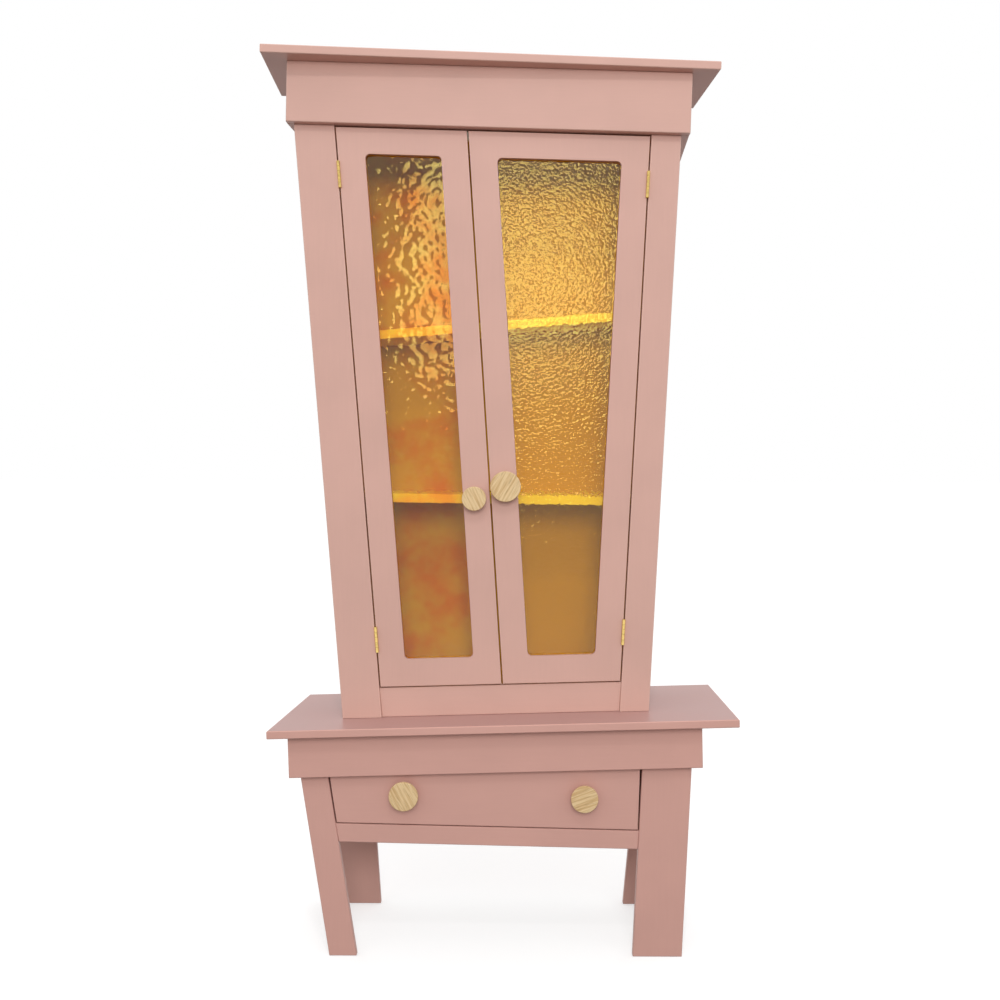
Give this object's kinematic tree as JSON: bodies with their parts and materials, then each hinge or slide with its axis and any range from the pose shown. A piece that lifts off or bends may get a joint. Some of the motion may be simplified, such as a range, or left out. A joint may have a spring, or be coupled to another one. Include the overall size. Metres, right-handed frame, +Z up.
{
  "type": "display cabinet",
  "caption": "Crooked painted wooden display cabinet: two glazed doors hung on leaning stiles over shelves, a tilted hat, and a stand with a drawer on splayed legs.",
  "frame": {"origin": "on the floor under the middle of the outline, seen from above", "axes": "+X to the right seen from the front, +Y to the back, +Z up"},
  "size_m": [0.934, 0.292, 1.7763],
  "materials": {
    "pink_paint": "satin painted wood",
    "yellow_paint": "satin painted wood",
    "bare_pine": "bare planed wood",
    "oak": "oiled",
    "textured_glass": "hammered",
    "hinge_brass": "polished",
    "steel": "zinc plated",
    "catch_plastic": "matte"
  },
  "bodies": {
    "cabinet": {"front_left_leg": "pink_paint", "front_right_leg": "pink_paint", "back_left_leg": "pink_paint", "back_right_leg": "pink_paint", "base_left_side": "pink_paint", "base_right_side": "pink_paint", "base_back_rail": "pink_paint", "drawer_rail": "pink_paint", "drawer_runners": "bare_pine", "drawer_kickers": "bare_pine", "base_frieze_front": "pink_paint", "base_frieze_left": "pink_paint", "base_frieze_right": "pink_paint", "tabletop": "pink_paint", "left_stile": "pink_paint", "right_stile": "pink_paint", "plinth_rail": "pink_paint", "case_left_side": "yellow_paint", "case_right_side": "yellow_paint", "case_floor": "yellow_paint", "case_ceiling": "yellow_paint", "back_panel": "yellow_paint", "upper_shelf": "yellow_paint", "lower_shelf": "yellow_paint", "shelf_battens": "yellow_paint", "hat_front": "pink_paint", "hat_left": "pink_paint", "hat_right": "pink_paint", "hat_back": "pink_paint", "top_board": "pink_paint", "magnet_catch": "catch_plastic", "left_frame_leaves": "hinge_brass", "right_frame_leaves": "hinge_brass", "hinge_pins": "hinge_brass", "frame_hinge_screws": "hinge_brass"},
    "left_door": {"left_door_face": "pink_paint", "left_glass": "textured_glass", "left_glazing_beads": "pink_paint", "left_door_leaves": "hinge_brass", "left_hinge_screws": "hinge_brass", "left_knob": "oak", "left_knob_screw": "steel", "left_strike_plate": "steel"},
    "right_door": {"right_door_face": "pink_paint", "right_glass": "textured_glass", "right_glazing_beads": "pink_paint", "right_door_leaves": "hinge_brass", "right_hinge_screws": "hinge_brass", "right_knob": "oak", "right_knob_screw": "steel", "right_strike_plate": "steel"},
    "drawer": {"drawer_front": "pink_paint", "drawer_left_side": "bare_pine", "drawer_right_side": "bare_pine", "drawer_back": "bare_pine", "drawer_bottom": "bare_pine", "drawer_left_knob": "oak", "drawer_right_knob": "oak", "drawer_knob_screws": "steel"}
  },
  "joints": [
    {"name": "left_door_hinge", "type": "hinge", "parent": "cabinet", "child": "left_door", "pos_m": [-0.2727, -0.0704, 1], "axis": [0.0767, 0, -0.9971], "range_deg": [0, 160]},
    {"name": "right_door_hinge", "type": "hinge", "parent": "cabinet", "child": "right_door", "pos_m": [0.26511, -0.0704, 1], "axis": [0.045, 0, 0.999], "range_deg": [0, 160]},
    {"name": "drawer_slide", "type": "slide", "parent": "cabinet", "child": "drawer", "axis": [0, -1, 0], "range_m": [0, 0.15]}
  ]
}
